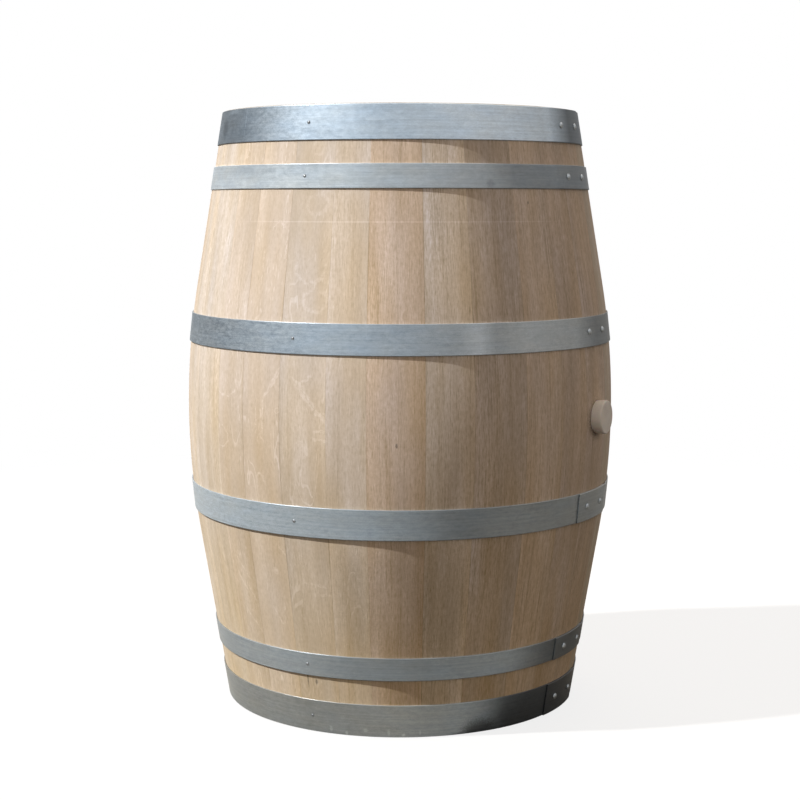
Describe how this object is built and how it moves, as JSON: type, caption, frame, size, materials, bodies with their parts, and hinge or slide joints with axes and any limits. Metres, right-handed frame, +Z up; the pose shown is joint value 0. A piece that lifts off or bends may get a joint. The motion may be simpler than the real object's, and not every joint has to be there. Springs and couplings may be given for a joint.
{
  "type": "oak barrel",
  "caption": "Upright oak wine barrel: bent staves held by galvanised hoops, flat jointed heads set in a croze, and a bung that pulls out of the bilge.",
  "frame": {"origin": "on the barrel's axis, in the plane of the stave ends that it stands on", "axes": "+Z up along the barrel's axis, +X out through the bung"},
  "size_m": [0.709, 0.693, 0.95],
  "materials": {
    "oak_staves": "sanded raw oak, quarter sawn, matt",
    "oak_heads": "planed raw oak, matt",
    "oak_dowels": "turned raw wood",
    "rush": "flat dried rush",
    "galvanised_hoops": "hot-dip galvanised, rolled, satin",
    "rivets": "zinc plated, domed",
    "nails": "dull dark steel",
    "silicone": "matt off-white silicone"
  },
  "bodies": {
    "barrel": {"bung_stave": "oak_staves", "stave_02": "oak_staves", "stave_03": "oak_staves", "stave_04": "oak_staves", "stave_05": "oak_staves", "stave_06": "oak_staves", "stave_07": "oak_staves", "stave_08": "oak_staves", "stave_09": "oak_staves", "stave_10": "oak_staves", "stave_11": "oak_staves", "stave_12": "oak_staves", "stave_13": "oak_staves", "stave_14": "oak_staves", "stave_15": "oak_staves", "stave_16": "oak_staves", "stave_17": "oak_staves", "stave_18": "oak_staves", "stave_19": "oak_staves", "stave_20": "oak_staves", "stave_21": "oak_staves", "stave_22": "oak_staves", "stave_23": "oak_staves", "stave_24": "oak_staves", "stave_25": "oak_staves", "stave_26": "oak_staves", "stave_27": "oak_staves", "stave_28": "oak_staves", "stave_29": "oak_staves", "stave_30": "oak_staves", "top_head_board_1": "oak_heads", "top_head_board_2": "oak_heads", "top_head_board_3": "oak_heads", "top_head_board_4": "oak_heads", "top_head_board_5": "oak_heads", "top_head_board_6": "oak_heads", "bottom_head_board_1": "oak_heads", "bottom_head_board_2": "oak_heads", "bottom_head_board_3": "oak_heads", "bottom_head_board_4": "oak_heads", "bottom_head_board_5": "oak_heads", "bottom_head_board_6": "oak_heads", "top_head_dowels": "oak_dowels", "bottom_head_dowels": "oak_dowels", "top_head_rushes": "rush", "bottom_head_rushes": "rush", "upper_head_hoop": "galvanised_hoops", "upper_quarter_hoop": "galvanised_hoops", "upper_bilge_hoop": "galvanised_hoops", "lower_bilge_hoop": "galvanised_hoops", "lower_quarter_hoop": "galvanised_hoops", "lower_head_hoop": "galvanised_hoops", "hoop_rivets": "rivets", "hoop_nails": "nails"},
    "bung": {"bung": "silicone"}
  },
  "joints": [
    {"name": "bung_pull", "type": "slide", "parent": "barrel", "child": "bung", "axis": [1, 0, 0], "range_m": [0, 0.08]}
  ]
}
